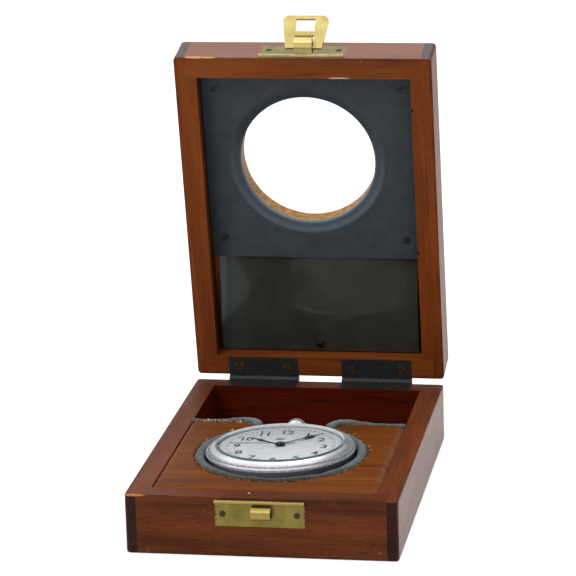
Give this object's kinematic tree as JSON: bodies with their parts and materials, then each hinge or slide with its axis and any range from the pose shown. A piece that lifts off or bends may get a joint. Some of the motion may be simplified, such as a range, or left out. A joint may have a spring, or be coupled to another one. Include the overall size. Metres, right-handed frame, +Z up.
{
  "type": "deck watch box",
  "caption": "Hinged wooden box with a sight hole in its lid, a brass hasp, and a pocket watch lying in a felt-lined keyhole well.",
  "frame": {"origin": "centre of the base's underside", "axes": "+Z up, +Y towards the hinges, +X to the right as seen from the latch side; the lid stands open at rest"},
  "size_m": [0.09, 0.1434, 0.1567],
  "materials": {
    "case_wood": "satin varnish, red-brown",
    "bottom_wood": "dark red-brown",
    "block_wood": "satin varnish, orange-brown",
    "felt": "grey-blue felt",
    "latch_brass": "polished, a little worn",
    "latch_screws": "dulled",
    "hinge_black": "blackened",
    "leaf_screws": "dulled",
    "sight_plate": "slate grey, satin",
    "plate_screws": "blackened",
    "card": "darkened",
    "card_window": "clear sheet, glossy",
    "window_screw": "dulled",
    "watch_case": "polished",
    "crystal": "polished",
    "dial": "silvered white",
    "movement": "plain",
    "watch_steel": "plain",
    "hands": "blued black"
  },
  "bodies": {
    "base": {"base_front_board": "case_wood", "base_rear_board": "case_wood", "base_left_side": "case_wood", "base_right_side": "case_wood", "base_bottom": "bottom_wood", "watch_block": "block_wood", "block_felt": "felt", "well_pad": "felt", "catch_plate": "latch_brass", "catch_plate_screws": "latch_screws", "left_hinge_base_leaf": "hinge_black", "right_hinge_base_leaf": "hinge_black", "hinge_pins": "hinge_black", "base_leaf_screws": "leaf_screws"},
    "lid": {"lid_front_board": "case_wood", "lid_rear_board": "case_wood", "lid_left_side": "case_wood", "lid_right_side": "case_wood", "lid_panel": "case_wood", "sight_plate": "sight_plate", "sight_plate_screws": "plate_screws", "rating_card": "card", "card_window": "card_window", "card_window_screw": "window_screw", "hasp_plate": "latch_brass", "hasp_plate_screws": "latch_screws", "left_hinge_lid_leaf": "hinge_black", "right_hinge_lid_leaf": "hinge_black", "lid_leaf_screws": "leaf_screws"},
    "hasp": {"hasp": "latch_brass"},
    "watch": {"case_middle": "watch_case", "case_back": "watch_case", "bezel": "watch_case", "crystal": "crystal", "dial": "dial", "movement": "movement", "hand_arbor": "watch_steel", "pendant": "watch_case"},
    "hour_hand": {"hour_hand": "hands"},
    "minute_hand": {"minute_hand": "hands"},
    "seconds_hand": {"seconds_hand": "hands"},
    "bow": {"bow": "watch_case"},
    "winding_stem": {"winding_stem": "watch_steel"},
    "crown": {"crown": "watch_case"}
  },
  "joints": [
    {"name": "lid_hinge", "type": "hinge", "parent": "base", "child": "lid", "pos_m": [0, 0.0634, 0.0205], "axis": [-1, 0, 0], "range_deg": [-79.5, 100.5]},
    {"name": "hasp_swing", "type": "hinge", "parent": "lid", "child": "hasp", "pos_m": [0.0005, 0.0435, 0.14709], "axis": [-1, 0, 0], "range_deg": [-141, 39]},
    {"name": "watch_lift", "type": "slide", "parent": "base", "child": "watch", "axis": [0, 0, 1], "range_m": [0, 0.03]},
    {"name": "bow_swing", "type": "hinge", "parent": "watch", "child": "bow", "pos_m": [-0.00049, 0.00887, 0.01904], "axis": [0.9998, 0.0008, 0.0209], "range_deg": [-45, 105]},
    {"name": "crown_pull", "type": "slide", "parent": "watch", "child": "winding_stem", "axis": [0, 0.9993, -0.0384], "range_m": [0, 0.001]},
    {"name": "crown_turn", "type": "hinge", "parent": "winding_stem", "child": "crown", "pos_m": [-0.00049, 0.01237, 0.01891], "axis": [0, 0.9993, -0.0384], "continuous": true},
    {"name": "minute_turn", "type": "hinge", "parent": "watch", "child": "minute_hand", "pos_m": [-0.00056, -0.01849, 0.0234], "axis": [0.0209, -0.0384, -0.999], "continuous": true},
    {"name": "hour_turn", "type": "hinge", "parent": "watch", "child": "hour_hand", "pos_m": [-0.00056, -0.01849, 0.0234], "axis": [0.0209, -0.0384, -0.999], "continuous": true},
    {"name": "seconds_turn", "type": "hinge", "parent": "watch", "child": "seconds_hand", "pos_m": [-0.00056, -0.01849, 0.0234], "axis": [0.0209, -0.0384, -0.999], "continuous": true}
  ],
  "couplings": [
    {"joint": "hour_turn", "follows": "minute_turn", "ratio": 0.083333}
  ]
}
